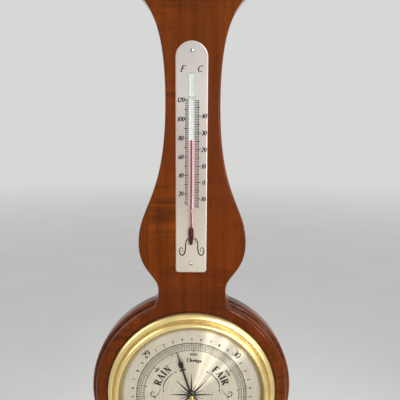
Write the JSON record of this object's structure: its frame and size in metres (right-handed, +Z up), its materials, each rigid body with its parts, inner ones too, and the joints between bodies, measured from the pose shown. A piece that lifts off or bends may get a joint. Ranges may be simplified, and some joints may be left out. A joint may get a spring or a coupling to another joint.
{
  "type": "wall barometer",
  "caption": "Banjo-shaped wooden wall barometer with a round brass-rimmed dial behind convex glass and a thermometer on a metal plate up the neck.",
  "frame": {"origin": "centre of the hanging hole, on the wall plane at the back of the board", "axes": "+Z up along the board, +Y into the wall, so the dial faces -Y, and +X to the right as seen from the front"},
  "size_m": [0.2, 0.0455, 0.521],
  "materials": {
    "mahogany": "polished, reddish brown",
    "bezel_brass": "polished and lacquered",
    "clock_brass": "satin",
    "silvered": "silvered, finely brushed",
    "plate_silvered": "silvered, matt",
    "blued_steel": "dark blued",
    "movement_steel": "ground",
    "spring_steel": "tempered, satin",
    "can_metal": "pressed and lacquered",
    "capsule_metal": "corrugated sheet, satin",
    "clear_glass": "clear, polished",
    "tube_glass": "clear, polished",
    "white_enamel": "white, glossy",
    "red_spirit": "clear red liquid"
  },
  "bodies": {
    "root": {"case_board": "mahogany", "hanger_plate": "clock_brass", "hanger_screws": "clock_brass", "movement_can": "can_metal", "can_screws": "clock_brass", "bezel": "bezel_brass", "bezel_pins": "bezel_brass", "glass": "clear_glass", "glass_ring": "clock_brass", "glass_bush": "bezel_brass", "dial_plate": "silvered", "hairspring": "spring_steel", "hairspring_stud": "clock_brass", "chain": "clock_brass", "lower_cock": "clock_brass", "upper_cock": "clock_brass", "cock_pillars": "clock_brass", "cock_spacers": "clock_brass", "cock_screws": "movement_steel", "shaft_cocks": "clock_brass", "cock_foot_screws": "movement_steel", "spring_block": "movement_steel", "block_screws": "movement_steel", "spring_clamp": "movement_steel", "clamp_screws": "movement_steel", "capsule_front": "capsule_metal", "capsule_rear": "capsule_metal", "base_plate": "movement_steel", "base_screws": "movement_steel", "dial_pillars": "clock_brass", "pillar_screws": "movement_steel", "thermometer_plate": "plate_silvered", "plate_pins": "plate_silvered", "tube_backing": "white_enamel", "thermometer_tube": "tube_glass", "spirit": "red_spirit", "tie_wires": "clock_brass"},
    "indicating_hand": {"indicating_hand": "blued_steel", "hand_arbor": "movement_steel"},
    "rocking_shaft": {"rocking_shaft": "movement_steel"},
    "main_lever": {"main_spring": "spring_steel", "knife_edge": "spring_steel", "main_lever": "movement_steel", "lever_rivets": "movement_steel", "link_rod": "movement_steel"},
    "set_hand": {"set_hand": "bezel_brass", "set_spindle": "bezel_brass", "set_knob": "bezel_brass", "set_washer": "clock_brass"},
    "adjusting_screw": {"adjusting_screw": "clock_brass"}
  },
  "joints": [
    {"name": "hand_turn", "type": "hinge", "parent": "root", "child": "indicating_hand", "pos_m": [0, -0.0298, -0.395], "axis": [0, 1, 0], "range_deg": [-120.5, 155.5], "stiffness_Nm_per_rad": 0.01, "deforming": ["hairspring"]},
    {"name": "rocking_shaft_turn", "type": "hinge", "parent": "root", "child": "rocking_shaft", "pos_m": [0.027, -0.0082, -0.395], "axis": [0, 0, 1], "range_deg": [-12.2, 15.7], "deforming": ["chain"]},
    {"name": "main_lever_rock", "type": "hinge", "parent": "root", "child": "main_lever", "pos_m": [-0.03, -0.0133, -0.395], "axis": [0, 0, 1], "range_deg": [-0.99, 1.27]},
    {"name": "set_hand_turn", "type": "hinge", "parent": "root", "child": "set_hand", "pos_m": [0, -0.0385, -0.395], "axis": [0, 1, 0], "continuous": true},
    {"name": "adjusting_screw_turn", "type": "hinge", "parent": "root", "child": "adjusting_screw", "pos_m": [-0.039, -0.0024, -0.395], "axis": [0, 1, 0], "range_deg": [-540, 540]}
  ],
  "couplings": [
    {"joint": "rocking_shaft_turn", "follows": "hand_turn", "ratio": 0.1},
    {"joint": "main_lever_rock", "follows": "hand_turn", "ratio": 0.0080645}
  ]
}
